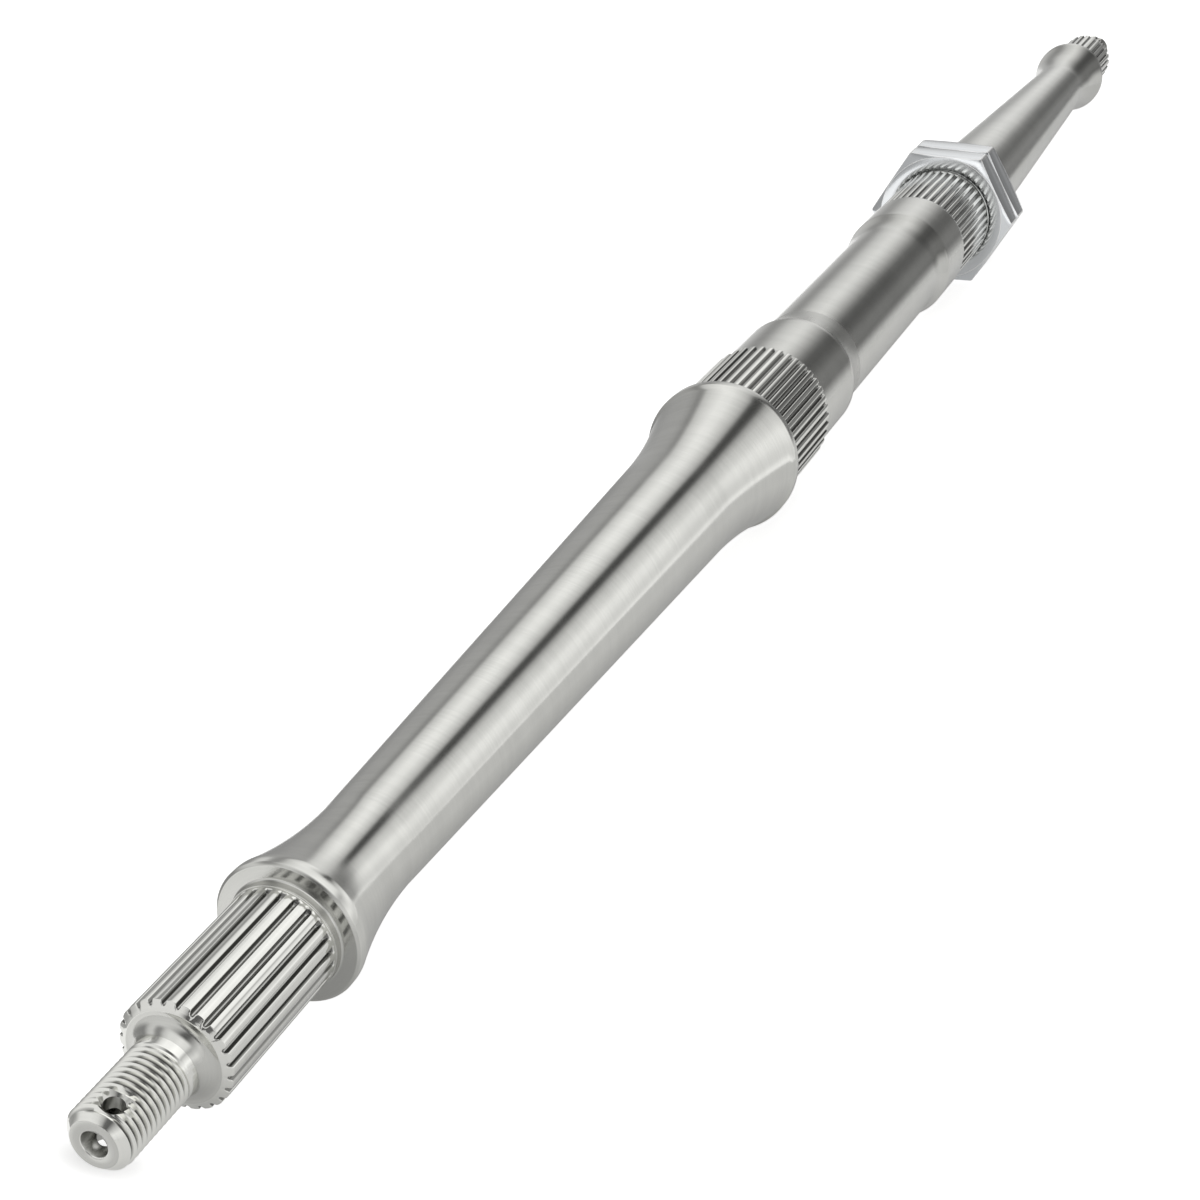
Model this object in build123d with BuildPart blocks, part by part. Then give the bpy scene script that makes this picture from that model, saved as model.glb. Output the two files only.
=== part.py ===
from build123d import *
from math import cos, radians, sin, tan
import os

# Rear axle shaft with splined wheel ends, a fixed hub flange, two bearing seats and two lock nuts.
# Millimetres. The shaft's axis is Y, its middle is the origin, and one nut flat faces up, along +Z.

# Whole shaft
overall_length = 920.0

# Threaded stud at each tip
tip_face_radius = 5.1
stud_radius = 7.0
stud_length = 25.4
stud_root_fillet = 3.0
centre_hole_radius = 2.8
centre_hole_depth = 14.0
centre_hole_point = 1.6
cotter_hole_radius = 2.05
cotter_sink_radius = 3.5
cotter_hole_inset = 5.0
cotter_hole_angle = 16.0

# Wheel spline inboard of each stud
wheel_spline_length = 39.4
wheel_spline_radius = 12.3
wheel_spline_root = 11.15
wheel_spline_teeth = 24
wheel_spline_lead = 1.0
wheel_spline_face_radius = 10.35
wheel_groove_width = 1.3
wheel_groove_floor = 0.6
wheel_groove_angle = 8.5
wheel_groove_setback = 0.6
wheel_groove_runout = 1.4

# Flared collar inboard of each wheel spline
seat_ring_length = 2.0
seat_ring_radius = 12.5
collar_radius = 16.45
collar_chamfer = 0.55
collar_rim_width = 3.0
collar_edge_round = 6.0
collar_flare_length = 30.5
neck_radius = 12.0

# Near taper and hub flange
taper_rise = 0.0298
near_taper_length = 184.7
flange_flare_length = 41.1
flange_edge_radius = 22.85
flange_bevel = 0.6
flange_rim_width = 3.5

# Hub spline behind the flange
hub_spline_length = 39.1
hub_spline_radius = 21.25
hub_spline_root = 20.1
hub_spline_teeth = 44
hub_spline_end_chamfer = 0.9
hub_groove_width = 1.55
hub_groove_floor = 0.8
hub_groove_angle = 0.0
hub_groove_setback = 0.4
hub_groove_runout = 1.2

# Bearing seats and the waist between them
journal_radius = 20.0
near_journal_length = 31.3
waist_radius = 18.0
waist_blend = 14.0
waist_length = 125.5
far_journal_length = 23.5

# Disc spline, turned just under the far seat's radius
disc_spline_length = 40.5
disc_spline_relief = 0.25
disc_spline_root = 18.95
disc_spline_teeth = 42
disc_groove_width = 1.75
disc_groove_floor = 1.0
disc_groove_angle = 0.0
disc_groove_runout = 1.2

# Nut thread, drawn as a plain cylinder of its outside size
thread_relief_length = 1.0
thread_relief_radius = 18.2
thread_length = 39.5
thread_radius = 19.0
thread_chamfer = 0.8

# Lock nuts
nut_setback = 0.5
nut_across_flats = 50.0
nut_thickness = 12.0
nut_face_radius = 24.6
nut_chamfer_angle = 20.0
nut_bore_clearance = 0.05
nut_bore_chamfer = 0.6

# How far a groove cutter stands clear of the open end of its grooves
cutter_overrun = 1.0

# Distances from the tip along a wheel end, each following from the lengths above
tip_chamfer_end = stud_radius - tip_face_radius
seat_ring_start = stud_length + wheel_spline_length
wheel_groove_end = seat_ring_start - wheel_groove_setback
collar_face = seat_ring_start + seat_ring_length
collar_rim_end = collar_face + collar_rim_width
neck = collar_rim_end + collar_flare_length

# Distances from the near tip along the body
flare_start = neck + near_taper_length
flange_edge = flare_start + flange_flare_length
flange_back = flange_edge + flange_rim_width
hub_spline_end = flange_back + hub_spline_length
near_journal_end = hub_spline_end + near_journal_length
far_journal_start = near_journal_end + waist_length
far_journal_end = far_journal_start + far_journal_length
disc_spline_end = far_journal_end + disc_spline_length
thread_start = disc_spline_end + thread_relief_length
thread_end = thread_start + thread_length
far_neck = overall_length - neck
nut_start = thread_start + nut_setback

# Radii that follow
collar_face_radius = collar_radius - collar_chamfer
flare_radius = neck_radius + taper_rise * near_taper_length
flange_radius = flange_edge_radius + flange_bevel
disc_spline_radius = journal_radius - disc_spline_relief
taper_radius_at_thread = neck_radius + taper_rise * (far_neck - thread_end)


def station(distance):
    """Y of a place given by its distance from the near tip."""
    return distance - overall_length / 2


def across(y):
    """Plane square to the shaft at y, facing +Y, with +Z up in it."""
    return Plane(origin=(0, y, 0), x_dir=(-1, 0, 0), z_dir=(0, 1, 0))


def facing_near(distance):
    """Plane square to the shaft at a distance from the near tip, facing -Y, with +Z up in it."""
    return Plane(origin=(0, station(distance), 0), x_dir=(1, 0, 0), z_dir=(0, -1, 0))


def spline_groove(root, outer, width, floor, length, runout, overrun):
    """One spline groove as a tool solid round the Z axis, pointing along X and closed at Z = 0."""
    slope = (width - floor) / 2 / (outer - root)
    mouth = outer + cutter_overrun
    half_mouth = floor / 2 + slope * (mouth - root)
    with BuildPart() as groove:
        with BuildSketch(Plane.XY):
            with BuildLine():
                Polyline(
                    (root, -floor / 2),
                    (root, floor / 2),
                    (mouth, half_mouth),
                    (mouth, -half_mouth),
                    close=True,
                )
            make_face()
        extrude(amount=length + overrun)
        with BuildSketch(Plane.XZ):
            with BuildLine():
                Polyline(
                    (root, length + overrun),
                    (root, runout),
                    (outer, 0),
                    (mouth, 0),
                    (mouth, length + overrun),
                    close=True,
                )
            make_face()
        extrude(amount=width, both=True, mode=Mode.INTERSECT)
    return groove.part


def lock_nut(near_face):
    """One hex lock nut with its near face at the given station, chamfered on both faces."""
    corner_radius = nut_across_flats / 2 / cos(radians(30)) + 1
    chamfer_depth = (corner_radius - nut_face_radius) * tan(radians(nut_chamfer_angle))
    with BuildPart() as nut:
        with BuildSketch(across(station(near_face))):
            RegularPolygon(nut_across_flats / 2, 6, major_radius=False)
            Circle(thread_radius + nut_bore_clearance, mode=Mode.SUBTRACT)
        extrude(amount=nut_thickness)
        bore_edges = nut.edges().filter_by(GeomType.CIRCLE)
        chamfer(bore_edges, length=nut_bore_chamfer)
        with BuildSketch(Plane.YZ):
            with BuildLine():
                Polyline(
                    (station(near_face), 0),
                    (station(near_face), nut_face_radius),
                    (station(near_face) + chamfer_depth, corner_radius),
                    (station(near_face + nut_thickness) - chamfer_depth, corner_radius),
                    (station(near_face + nut_thickness), nut_face_radius),
                    (station(near_face + nut_thickness), 0),
                    close=True,
                )
            make_face()
        revolve(axis=Axis.Y, mode=Mode.INTERSECT)
    return nut.part


# One wheel end, at the near tip
wheel_groove = spline_groove(
    wheel_spline_root,
    wheel_spline_radius,
    wheel_groove_width,
    wheel_groove_floor,
    wheel_groove_end - stud_length,
    wheel_groove_runout,
    cutter_overrun,
)

cotter_direction = (sin(radians(cotter_hole_angle)), 0, cos(radians(cotter_hole_angle)))
cotter_plane = Plane(origin=(0, station(cotter_hole_inset), 0), x_dir=(0, 1, 0), z_dir=cotter_direction)

with BuildPart() as wheel_end:
    with BuildSketch(Plane.YX) as end_profile:
        with BuildLine():
            Polyline(
                (station(neck), 0),
                (station(centre_hole_depth + centre_hole_point), 0),
                (station(centre_hole_depth), centre_hole_radius),
                (station(0), centre_hole_radius),
                (station(0), tip_face_radius),
                (station(tip_chamfer_end), stud_radius),
                (station(stud_length), stud_radius),
                (station(stud_length), wheel_spline_face_radius),
                (station(stud_length + wheel_spline_lead), wheel_spline_radius),
                (station(seat_ring_start), wheel_spline_radius),
                (station(seat_ring_start), seat_ring_radius),
                (station(collar_face), seat_ring_radius),
                (station(collar_face), collar_face_radius),
                (station(collar_face + collar_chamfer), collar_radius),
                (station(collar_rim_end), collar_radius),
            )
            TangentArc(
                (station(neck), neck_radius),
                (station(collar_rim_end), collar_radius),
                tangent=(-1, 0),
            )
            Line((station(neck), neck_radius), (station(neck), 0))
        make_face()
        stud_root = end_profile.vertices().sort_by_distance((station(stud_length), stud_radius))[0]
        fillet(stud_root, radius=stud_root_fillet)
        rim_edge = end_profile.vertices().sort_by_distance((station(collar_rim_end), collar_radius))[0]
        fillet(rim_edge, radius=collar_edge_round)
    revolve(axis=Axis.Y)
    with Locations(facing_near(wheel_groove_end)):
        with PolarLocations(0, wheel_spline_teeth, start_angle=90 - wheel_groove_angle):
            add(wheel_groove, mode=Mode.SUBTRACT)
    with Locations(cotter_plane.offset(stud_radius)):
        CounterSinkHole(cotter_hole_radius, cotter_sink_radius, counter_sink_angle=90)
    with Locations(cotter_plane.offset(-stud_radius).rotated((180, 0, 0))):
        CounterSinkHole(cotter_hole_radius, cotter_sink_radius, depth=stud_radius, counter_sink_angle=90)

# Grooves of the two splines on the body, the first open towards the bearing seat beside it
hub_groove = spline_groove(
    hub_spline_root,
    hub_spline_radius,
    hub_groove_width,
    hub_groove_floor,
    hub_spline_length - hub_groove_setback,
    hub_groove_runout,
    cutter_overrun,
)

disc_groove = spline_groove(
    disc_spline_root,
    disc_spline_radius,
    disc_groove_width,
    disc_groove_floor,
    disc_spline_length,
    disc_groove_runout,
    thread_relief_length,
)

# The shaft: the middle is turned from one profile, and the far wheel end mirrors the near one
with BuildPart() as axle_shaft:
    with BuildSketch(Plane.YZ):
        with BuildLine():
            Polyline(
                (station(neck), 0),
                (station(neck), neck_radius),
                (station(flare_start), flare_radius),
            )
            TangentArc(
                (station(flare_start), flare_radius),
                (station(flange_edge), flange_edge_radius),
                tangent=(1, taper_rise),
            )
            Polyline(
                (station(flange_edge), flange_edge_radius),
                (station(flange_edge + flange_bevel), flange_radius),
                (station(flange_back), flange_radius),
                (station(flange_back), hub_spline_radius),
                (station(hub_spline_end - hub_spline_end_chamfer), hub_spline_radius),
                (station(hub_spline_end), hub_spline_radius - hub_spline_end_chamfer),
                (station(hub_spline_end), journal_radius),
                (station(near_journal_end), journal_radius),
            )
            TangentArc(
                (station(near_journal_end + waist_blend), waist_radius),
                (station(near_journal_end), journal_radius),
                tangent=(-1, 0),
            )
            Line(
                (station(near_journal_end + waist_blend), waist_radius),
                (station(far_journal_start - waist_blend), waist_radius),
            )
            TangentArc(
                (station(far_journal_start - waist_blend), waist_radius),
                (station(far_journal_start), journal_radius),
                tangent=(1, 0),
            )
            Polyline(
                (station(far_journal_start), journal_radius),
                (station(far_journal_end), journal_radius),
                (station(far_journal_end), disc_spline_radius),
                (station(disc_spline_end), disc_spline_radius),
                (station(disc_spline_end), thread_relief_radius),
                (station(thread_start), thread_relief_radius),
                (station(thread_start + thread_chamfer), thread_radius),
                (station(thread_end - thread_chamfer), thread_radius),
                (station(thread_end), thread_radius - thread_chamfer),
                (station(thread_end), taper_radius_at_thread),
                (station(far_neck), neck_radius),
                (station(far_neck), 0),
                (station(neck), 0),
            )
        make_face()
    revolve(axis=Axis.Y)
    with Locations(across(station(flange_back + hub_groove_setback))):
        with PolarLocations(0, hub_spline_teeth, start_angle=90 + hub_groove_angle):
            add(hub_groove, mode=Mode.SUBTRACT)
    with Locations(across(station(far_journal_end))):
        with PolarLocations(0, disc_spline_teeth, start_angle=90 + disc_groove_angle):
            add(disc_groove, mode=Mode.SUBTRACT)
    add(wheel_end.part)
    mirror(wheel_end.part, about=Plane.XZ)

# The two lock nuts, hard against each other on the thread
inner_lock_nut = lock_nut(nut_start)
outer_lock_nut = lock_nut(nut_start + nut_thickness)

# Finished parts
os.makedirs("parts", exist_ok=True)
axle_shaft.part.label = "axle_shaft"
export_step(axle_shaft.part, "parts/axle_shaft.step")
inner_lock_nut.label = "inner_lock_nut"
export_step(inner_lock_nut, "parts/inner_lock_nut.step")
outer_lock_nut.label = "outer_lock_nut"
export_step(outer_lock_nut, "parts/outer_lock_nut.step")
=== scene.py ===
"""Splined axle shaft with two lock nuts: turned steel, bright plating and a pale studio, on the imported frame."""

from math import cos, hypot, pi, radians, sin, tan

import bpy
import numpy as np
from bpy.props import FloatProperty, FloatVectorProperty, IntProperty, PointerProperty
from bpy.types import Operator, Panel, PropertyGroup
from mathutils import Matrix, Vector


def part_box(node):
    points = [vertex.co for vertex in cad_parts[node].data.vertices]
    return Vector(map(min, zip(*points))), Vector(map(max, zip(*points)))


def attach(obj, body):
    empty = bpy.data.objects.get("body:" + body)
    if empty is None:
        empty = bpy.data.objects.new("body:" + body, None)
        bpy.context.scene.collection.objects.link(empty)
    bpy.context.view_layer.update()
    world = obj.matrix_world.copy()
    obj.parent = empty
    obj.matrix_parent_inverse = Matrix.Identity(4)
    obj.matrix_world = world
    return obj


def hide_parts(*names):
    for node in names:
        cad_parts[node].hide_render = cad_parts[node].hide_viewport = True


bl_info = {
    "name": "Axle Shaft",
    "version": (1, 0, 0),
    "blender": (4, 5, 0),
    "location": "View3D > Sidebar > Axle",
    "description": "Builds a splined axle shaft with two lock nuts, and the studio it lies in",
    "category": "Add Mesh",
}

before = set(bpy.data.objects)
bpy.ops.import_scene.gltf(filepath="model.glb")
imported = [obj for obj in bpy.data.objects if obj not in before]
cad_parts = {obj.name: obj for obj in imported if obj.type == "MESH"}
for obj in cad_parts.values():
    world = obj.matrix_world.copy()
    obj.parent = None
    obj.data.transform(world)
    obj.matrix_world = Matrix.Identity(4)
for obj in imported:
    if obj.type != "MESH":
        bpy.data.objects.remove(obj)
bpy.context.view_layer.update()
MM = 0.001
HALF_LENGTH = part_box("axle_shaft")[1].y / MM
LENGTH = 2 * HALF_LENGTH

# Every distance below is in millimetres from the near tip, and every radius is from the axis

# Small rounds on edges and on steps, the tolerance of a weld, the hair by which cutters stand clear, the slack
# between two parts, and the angle in degrees from which an edge is sharp
EDGE = 0.14
STEP_ROUND = 0.08
WELD = 0.01
HAIR = 0.01
SLACK = 0.05
CREASE_ANGLE = 48

# Threaded studs
TIP_RADIUS = 5.1
STUD_RADIUS = 7.0
STUD_LENGTH = 25.4
STUD_ROOT_FILLET = 3.0
STUD_THREAD_START = 0.15
STUD_THREAD_ROWS = 10
STUD_THREAD_FADE = 0.9
STUD_COLUMNS = 72
CENTRE_HOLE_RADIUS = 2.8
CENTRE_HOLE_DEPTH = 14.0
CENTRE_HOLE_POINT = 1.6
COTTER_HOLE_RADIUS = 2.05
COTTER_SINK_RADIUS = 3.5
COTTER_HOLE_INSET = 5.0
COTTER_HOLE_ANGLE = 16.0
COTTER_COLUMNS = 64
COTTER_OVERRUN = 2.0
COTTER_TOLERANCE = 0.04
COTTER_BORE, COTTER_SINK = 1, 2
TIP_FACE = 0.02

# Wheel splines
WHEEL_FACE_RADIUS = 10.35
WHEEL_RADIUS = 12.3
WHEEL_DEPTH = 1.15
WHEEL_TEETH = 24
WHEEL_GROOVE_WIDTH = 1.3
WHEEL_GROOVE_FLOOR = 0.6
WHEEL_GROOVE_ANGLE = 8.5
WHEEL_LEAD = 1.0
WHEEL_RUNOUT = 1.4
WHEEL_GROOVE_END = 64.2
WHEEL_LIP = 0.3
WHEEL_CROWN = 0.07

# Flared collars
SEAT_RING_START = 64.8
SEAT_RING_RADIUS = 12.5
SEAT_FILLET = 0.5
COLLAR_FACE = 66.8
COLLAR_RADIUS = 16.45
COLLAR_CHAMFER = 0.55
COLLAR_RIM_END = 69.8
COLLAR_EDGE_ROUND = 0.87
NECK = 100.3
NECK_RADIUS = 12.0

# Rows along the tapers, steps round the flange's flare, the collar's flare, the blends and fillets, and how far the
# rows between two shapes keep from them
NEAR_TAPER_ROWS, FAR_TAPER_ROWS = 14, 12
FLARE_STEPS, BELL_STEPS, BLEND_STEPS, FILLET_STEPS = 28, 17, 10, 4
ROW_GAP = 2

# Near taper and hub flange
TAPER_RISE = 0.0298
FLARE_START = 285.0
FLANGE_EDGE = 326.1
FLANGE_EDGE_RADIUS = 22.85
FLANGE_BEVEL = 0.6
FLANGE_BACK = 329.6

# Hub spline
HUB_RADIUS = 21.25
HUB_DEPTH = 1.15
HUB_TEETH = 44
HUB_GROOVE_WIDTH = 1.55
HUB_GROOVE_FLOOR = 0.8
HUB_SETBACK = 0.4
HUB_RUNOUT = 1.2
HUB_END = 368.7
HUB_END_ROUND = 0.9
HUB_LIP = 0.25
HUB_CROWN = 0.04

# Bearing seats and waist
SEAT_RADIUS = 20.0
NEAR_SEAT_END = 400.0
WAIST_RADIUS = 18.0
WAIST_BLEND = 14.0
FAR_SEAT_START = 525.5
FAR_SEAT_END = 549.0

# Disc spline
DISC_RADIUS = 19.75
DISC_DEPTH = 0.8
DISC_TEETH = 42
DISC_GROOVE_WIDTH = 1.75
DISC_GROOVE_FLOOR = 1.0
DISC_RUNOUT = 1.2
DISC_END = 589.5
DISC_LIP = 0.22
DISC_CROWN = 0.03
DISC_SHADE_DEPTH = DISC_DEPTH * 1.15

# The round at the floor of every groove
FLOOR_ROUND = 0.3

# Nut thread
RELIEF_RADIUS = 18.2
THREAD_START = 590.5
THREAD_END = 630.0
THREAD_RADIUS = 19.0
THREAD_CHAMFER = 0.8
NUT_THREAD_ROWS = 6
NUT_THREAD_FADE = 0.8
NUT_THREAD_COLUMNS = 80

# Both threads: how far from the middle of a root its flat ends and the crest starts, in pitches
ROOT_FLAT = 0.13
CREST_START = 0.45

# Lock nuts
NUT_BORE_RADIUS = 19.05
NUT_BORE_CHAMFER = 0.6
NUT_FACE_MIDDLE = 22.0
NUT_FACE_RADIUS = 24.6
NUT_CHAMFER_ANGLE = 20.0
NUT_CORNER_RADIUS = 28.65
NUT_RING_HALF = 0.12
NUT_BEVEL = 0.22
NUT_SIDE_ANGLES = [-30, -29.24, -28.6, -26, -22, -17, -12, -6, 0, 6, 12, 17, 22, 26, 28.6, 29.24]

# Painted shade: brightness at each depth below the outline, from 0 on it to 1 at the floor, dark on the walls of
# grooves and in the roots of threads
PLAIN = [(0.0, 1.0), (1.0, 1.0)]
GROOVE_PAINTED_SHADE = [(0.0, 1.0), (0.12, 1.0), (0.28, 0.26), (0.85, 0.22), (0.96, 0.56), (1.0, 0.62)]
FINE_GROOVE_PAINTED_SHADE = [(0.0, 1.0), (0.15, 1.0), (0.32, 0.36), (0.85, 0.3), (0.96, 0.55), (1.0, 0.6)]
ROOT_PAINTED_SHADE = [(0.0, 1.0), (0.5, 1.0), (0.8, 0.5), (0.97, 0.12), (1.0, 0.08)]

# The shaft's finishes, one for each material slot. Each has its name, its brightness and roughness beside plain
# turned steel, and its marks: their spacing and height in metres, their contrast, how far they stretch a highlight,
# and the painted shade in its recesses. The bored steel's low brightness is a painted shade in the holes. Slot 0,
# turned steel, is what a face has at first
FINISHES = [
    ("turned_steel", 1.0, 1.0, 0.0006, 1.4e-6, 0.04, 0.5, PLAIN),
    ("hobbed_steel", 1.14, 0.5, 0.0009, 0.2e-6, 0.02, 0.1, GROOVE_PAINTED_SHADE),
    ("threaded_steel", 1.22, 0.6, 0.0006, 0.6e-6, 0.02, 0.1, ROOT_PAINTED_SHADE),
    ("faced_steel", 0.91, 1.15, 0.0004, 1.4e-6, 0.03, 0.0, PLAIN),
    ("bored_steel", 0.75, 1.8, 0.0004, 0.4e-6, 0.02, 0.0, PLAIN),
    ("fine_hobbed_steel", 1.3, 0.5, 0.0009, 0.2e-6, 0.02, 0.1, FINE_GROOVE_PAINTED_SHADE),
    ("blended_steel", 0.85, 1.9, 0.0006, 1.4e-6, 0.04, 0.3, PLAIN),
]
HOBBED, THREADED, FACED, BORED_PAINTED_SHADE, FINE_HOBBED, BLENDED = range(1, len(FINISHES))

# The lathe's rings: how fast they change round the axis, how much slower a second, broader set changes in each
# direction, and its share. Each noise has its scale, detail and roughness, and a tone's span is where it changes
RING_CHANGE = 55.0
BROAD_RINGS = (0.5, 0.5, 0.13)
BROAD_SHARE = 0.8
FINE_NOISE = (1.0, 3.0, 0.65)
BROAD_NOISE = (1.0, 2.0, 0.5)
MOTTLE_NOISE = (38.0, 4.0, 0.6)
TONE_SPAN = (0.55, 1.25)

# How much the mottle and the depth of a recess roughen a metal
MOTTLE = 0.12
RECESS_ROUGHNESS = 0.08

# The nuts' second slot, white edges that are a painted highlight, and the marks of both their finishes
PAINTED_HIGHLIGHT = 1
PAINTED_HIGHLIGHT_COLOUR = (1.0, 1.0, 1.0)
PAINTED_HIGHLIGHT_ROUGHNESS = 0.42
PAINTED_HIGHLIGHT_MARKS = (0.0004, 1e-6, 0.0, 0.0, PLAIN)
PLATING_MARKS = (0.0004, 1e-6, 0.02, 0.2, PLAIN)

# Stage, in metres: the pale board that the metal reflects, narrow beside the shaft and wider towards the camera
BOARD = [
    (-0.06, -1.2), (0.5, -1.2), (0.3, -0.45), (0.175, -0.18), (0.105, -0.05), (0.08, 0.07), (0.066, 0.45),
    (0.05, 1.2), (-0.09, 1.2), (-0.09, 0.0), (-0.06, -0.05),
]
BOARD_GLOW = 0.27
BOARD_SHADE = 0.55
FLOOR_GAP = 0.0001
FLOOR_REACH = 8.0
FLOOR_GLOW = 0.8
WHITE = (1.0, 1.0, 1.0, 1.0)
BLACK = (0.0, 0.0, 0.0, 1.0)

# The soft shade under the near tip: its middle, its size and how much of the floor's glow is left in it
NEAR_SHADE = (-0.0165, -0.4398, -0.0251)
NEAR_SHADE_SIZE = (0.0155, 0.0085, 1.0)
NEAR_SHADE_LEVEL = 0.42

# The hood's start, end and radius, its sides in degrees, how far from its end its light starts and stops fading, and
# where along the shaft each light gives way to the next
HOOD_SPAN = (-2.5, 0.175, 0.2)
HOOD_SIDES = (-128, 109)
HOOD_COLUMNS = 80
HOOD_FADE = (0.06, 0.01)
HOOD_CHANGES = ((-0.215, -0.185), (-0.58, -0.47), (-1.3, -0.95))
HOOD_END = (0.12, 0.12, 0.12, 1.0)

# Two distances and the values at them, between which a light or a shade changes. A grey's values are shares of the
# board's whole shade
NEAR_SPACING = (0.78, 0.885, 1.4, 1.0)
FAR_SPACING = (0.97, 0.988, 1.0, 0.45)
BACK_RISE = (0.92, 0.955, 0.0, 1.0)
BACK_FALL = (0.972, 0.984, 1.0, 0.0)
STRIP_FALL = (0.0, 0.048, 1.0, 0.0)
STRIP_START = (-0.47, -0.41, 0.0, 1.0)
STRIP_GREY = (-0.15, 0.35, 1.0, 0.3)
FAR_GREY = (0.1, 0.45, 0.0, 0.4)
POOL_GLOW = (0.1, 1.0, NEAR_SHADE_LEVEL, 1.0)
LEFT_GLOW = (-0.04, -0.012, 2.2, 1.0)
FRONT_GLOW = (-0.5, -0.44, 1.15, 1.0)


class ShaftSettings(PropertyGroup):
    thread_pitch: FloatProperty(
        name="Thread Pitch",
        description="Distance from one thread crest to the next, on the studs and under the nuts",
        default=1.5 * MM,
        unit="LENGTH",
    )
    thread_depth: FloatProperty(
        name="Thread Depth",
        description="Height of a thread from its root to its crest",
        default=0.9 * MM,
        unit="LENGTH",
    )
    columns: IntProperty(
        name="Columns",
        description="Points around the plain turned surfaces",
        default=144,
        min=48,
    )
    steel_colour: FloatVectorProperty(
        name="Steel Colour",
        description="Base colour of the turned steel",
        default=(0.665, 0.665, 0.638),
        subtype="COLOR",
    )
    steel_roughness: FloatProperty(
        name="Steel Roughness",
        description="Roughness of the turned steel between its marks",
        default=0.15,
        subtype="FACTOR",
    )


class NutSettings(PropertyGroup):
    across_flats: FloatProperty(
        name="Across Flats",
        description="Distance between two opposite flats of a lock nut",
        default=50.0 * MM,
        unit="LENGTH",
    )
    plating_colour: FloatVectorProperty(
        name="Plating Colour",
        description="Base colour of the bright plating",
        default=(0.83, 0.85, 0.87),
        subtype="COLOR",
    )
    plating_roughness: FloatProperty(
        name="Plating Roughness",
        description="Roughness of the bright plating",
        default=0.13,
        subtype="FACTOR",
    )


class StudioSettings(PropertyGroup):
    camera_place: FloatVectorProperty(
        name="Camera Place",
        description="Where the camera stands",
        default=(0.19052, -0.69220, 0.25257),
        subtype="TRANSLATION",
    )
    camera_pitch: FloatProperty(
        name="Camera Pitch",
        description="How far the camera looks down",
        default=radians(27.0),
        subtype="ANGLE",
    )
    camera_turn: FloatProperty(
        name="Camera Turn",
        description="How far the camera is turned to the left of the shaft",
        default=radians(22.343),
        subtype="ANGLE",
    )
    lens: FloatProperty(
        name="Lens",
        description="Focal length of the camera in millimetres",
        default=64.0,
    )
    floor_colour: FloatVectorProperty(
        name="Floor Colour",
        description="Colour of the floor",
        default=(0.88, 0.88, 0.875),
        subtype="COLOR",
    )
    light_level: FloatProperty(
        name="Light Level",
        description="Strength of the studio's soft light",
        default=1.0,
    )


class Skin:
    """One surface in millimetres, made of rings and wrapped grids joined in order from the near end."""

    def __init__(self):
        self.points, self.quads, self.triangles = [], [], []
        self.count = 0
        self.edge = None

    def add(self, distance, radius, angle):
        """Points at a distance from the near tip, a radius and an angle from up towards +X; returns their indices."""
        distance, radius, angle = np.broadcast_arrays(distance, radius, angle)
        place = np.stack([radius * np.sin(angle), distance - HALF_LENGTH, radius * np.cos(angle)], -1)
        self.points.append(place.reshape(-1, 3))
        index = np.arange(self.count, self.count + radius.size).reshape(radius.shape)
        self.count += radius.size
        return index

    def zip(self, low, low_angle, high, high_angle):
        """Joins two closed rings of any counts: the edges of both are taken in order of angle, and each makes a
        triangle with the last point passed on the other ring."""
        turn = np.array([[-2 * pi], [0], [2 * pi]])
        low_end = np.append(low_angle[1:], low_angle[0] + 2 * pi)
        high_end = np.append(high_angle[1:], high_angle[0] + 2 * pi)
        over = np.searchsorted((high_angle + turn).ravel(), low_end, side="left") - 1
        under = np.searchsorted((low_angle + turn).ravel(), high_end, side="right") - 1
        self.triangles.append(np.stack([low, np.roll(low, -1), high[over % len(high)]], -1))
        self.triangles.append(np.stack([low[under % len(low)], np.roll(high, -1), high], -1))

    def sleeve(self, distance, radius, angle, shift=0):
        """A grid wrapped round the shaft, joined to what is open. Its last column meets its first, shift rows on,
        so a thread's grid follows its helix."""
        index = self.add(distance, radius, angle)
        rows = len(index)
        inner = [index[:-1, :-1], index[:-1, 1:], index[1:, 1:], index[1:, :-1]]
        seam = [
            index[: rows - 1 - shift, -1],
            index[shift : rows - 1, 0],
            index[shift + 1 :, 0],
            index[1 : rows - shift, -1],
        ]
        self.quads.append(np.stack([part.ravel() for part in inner], -1))
        self.quads.append(np.stack(seam, -1))
        angle = np.broadcast_to(angle, index.shape)[0]
        if self.edge is not None:
            low = np.append(index[0], index[shift:0:-1, 0])
            self.zip(*self.edge, low, np.append(angle, np.full(shift, angle[0] + 2 * pi)))
        high = np.append(index[-1], index[rows - 2 : rows - 2 - shift : -1, -1])
        self.edge = (high, np.append(angle, np.full(shift, angle[-1])))
        return index

    def turned(self, profile, columns, offset=0.0):
        """A profile of (distance, radius) points turned round the axis."""
        distance, radius = np.array(profile, float).T[..., None]
        angle = (np.arange(columns) + offset) * 2 * pi / columns
        return self.sleeve(distance, radius, angle)

    def pole(self, distance, ring):
        """Closes a ring to a point on the axis. A ring that opens a surface is given backwards."""
        tip = self.add(distance, 0.0, 0.0).ravel()
        self.triangles.append(np.stack([ring, np.roll(ring, -1), np.repeat(tip, len(ring))], -1))

    def mesh(self, name):
        """All the points, in metres, and all the faces as one mesh."""
        mesh = bpy.data.meshes.new(name)
        points = np.concatenate(self.points) * MM
        faces = np.concatenate(self.quads).tolist() + np.concatenate(self.triangles).tolist()
        mesh.from_pydata(points, [], faces)
        return mesh


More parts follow.
